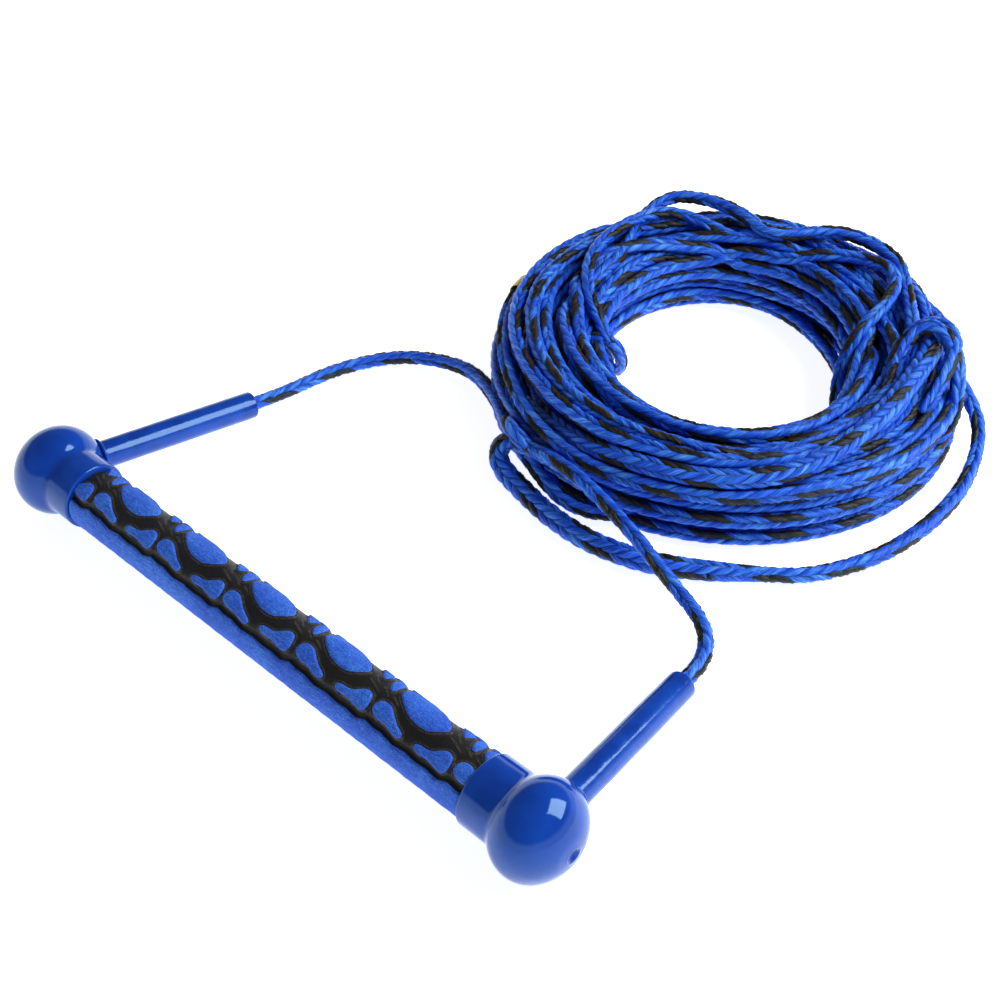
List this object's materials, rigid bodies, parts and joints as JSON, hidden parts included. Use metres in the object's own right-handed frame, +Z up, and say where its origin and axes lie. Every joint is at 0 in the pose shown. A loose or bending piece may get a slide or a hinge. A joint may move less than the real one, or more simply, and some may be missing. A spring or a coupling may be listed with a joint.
{
  "type": "tow rope handle",
  "caption": "Floating foam-covered tow handle with round end caps, finger sleeves, a rope bridle and its coiled braided line.",
  "frame": {"origin": "on the ground under the centre of the handle's own overall box (bar, caps and sleeves, without the free rope)", "axes": "+X along the bar, +Y from the bar towards the bridle and the coiled line, +Z up"},
  "size_m": [0.3466, 0.4312, 0.0565],
  "materials": {
    "bar_metal": "brushed tube",
    "float_foam": "closed-cell foam",
    "grip_foam_black": "moulded EVA foam",
    "grip_foam_blue": "moulded EVA foam, matte",
    "cap_vinyl": "glossy dipped vinyl",
    "sleeve_vinyl": "glossy vinyl tube",
    "plug_plastic": "moulded",
    "rope_braid": "braided polyethylene, blue with dark flecks",
    "marker_tape": "woven yellow tape"
  },
  "bodies": {
    "handle": {"bar_tube": "bar_metal", "float_core": "float_foam", "grip_base": "grip_foam_black", "grip_pads_large": "grip_foam_blue", "grip_pads_slim": "grip_foam_blue", "grip_pads_boot": "grip_foam_blue", "grip_pads_bean": "grip_foam_blue", "grip_band_front": "grip_foam_blue", "grip_band_under": "grip_foam_blue", "left_end_cap": "cap_vinyl", "right_end_cap": "cap_vinyl", "left_tube_plug": "plug_plastic", "right_tube_plug": "plug_plastic", "left_rope_anchor": "rope_braid", "right_rope_anchor": "rope_braid", "bridle_leg_left": "rope_braid", "bridle_leg_right": "rope_braid", "bridle_knot": "rope_braid", "lead_splice": "rope_braid", "lead_line": "rope_braid", "rope_coil": "rope_braid", "section_splice": "rope_braid", "section_knot": "rope_braid", "coil_wrap_left": "rope_braid", "coil_wrap_right": "rope_braid", "tow_eye": "rope_braid", "rope_marker": "marker_tape"},
    "left_finger_guard": {"left_sleeve": "sleeve_vinyl", "left_rope_core": "rope_braid"},
    "right_finger_guard": {"right_sleeve": "sleeve_vinyl", "right_rope_core": "rope_braid"}
  },
  "joints": [
    {"name": "left_sleeve_swing", "type": "hinge", "parent": "handle", "child": "left_finger_guard", "pos_m": [-0.15287, -0.02238, 0.01922], "axis": [0, 0, 1], "range_deg": [-12, 12]},
    {"name": "right_sleeve_swing", "type": "hinge", "parent": "handle", "child": "right_finger_guard", "pos_m": [0.15287, -0.02238, 0.01922], "axis": [0, 0, 1], "range_deg": [-12, 12]}
  ]
}
